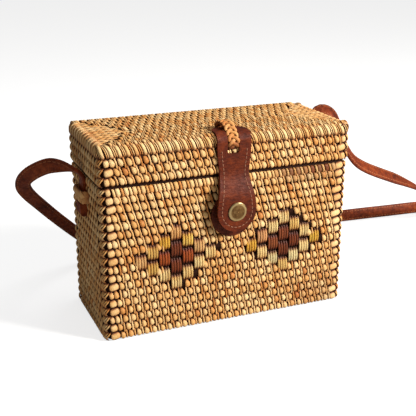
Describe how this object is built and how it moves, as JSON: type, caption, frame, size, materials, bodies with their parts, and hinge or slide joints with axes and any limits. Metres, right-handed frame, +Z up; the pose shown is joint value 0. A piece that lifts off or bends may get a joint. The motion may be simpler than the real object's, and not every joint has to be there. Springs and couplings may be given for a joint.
{
  "type": "basket box bag",
  "caption": "small woven rattan box bag with a hinged lid, a leather clasp with a ring snap, plaited side rings and a leather shoulder strap",
  "frame": {"origin": "middle of the box's underside, on the surface it stands on", "axes": "+X along the front to the right, +Y from the front to the hinges at the back, +Z up"},
  "size_m": [0.465, 0.1756, 0.1568],
  "materials": {
    "rattan": "honey-coloured split rattan, satin, smoke-tinted",
    "cane": "golden cane, satin",
    "cane_dark": "dark brown dyed cane, satin",
    "cane_red": "red-brown dyed cane, satin",
    "cane_yellow": "yellow dyed cane, satin",
    "cane_pale": "pale undyed cane, satin",
    "clasp_leather": "reddish-brown creased leather, soft satin",
    "strap_leather": "dark brown leather, soft satin",
    "brass": "antique brass, worn bright at the rim",
    "lining": "plain brown woven cloth"
  },
  "bodies": {
    "body": {"basket_body": "rattan", "body_lining": "lining", "hinge_ring_left": "cane", "hinge_ring_right": "cane", "side_ring_left": "cane", "side_ring_right": "cane", "flower_dark_strips": "cane_dark", "flower_red_strips": "cane_red", "flower_yellow_strips": "cane_yellow", "flower_pale_strips": "cane_pale", "clasp_backing": "clasp_leather", "snap_rivet": "brass", "snap_stud": "brass", "strap_end_left": "strap_leather", "strap_end_right": "strap_leather", "shoulder_strap": "strap_leather"},
    "lid": {"lid_basket": "rattan", "lid_lining": "lining", "clasp_braid_loop": "cane"},
    "clasp": {"clasp_tab": "clasp_leather", "snap_cap": "brass", "snap_socket": "brass"}
  },
  "joints": [
    {"name": "lid_hinge", "type": "hinge", "parent": "body", "child": "lid", "pos_m": [0, 0.043, 0.1198], "axis": [-1, 0, 0], "range_deg": [0, 110]},
    {"name": "clasp_hinge", "type": "hinge", "parent": "lid", "child": "clasp", "pos_m": [0.0013, -0.0284, 0.15065], "axis": [-1, 0, 0], "range_deg": [0, 100]}
  ]
}
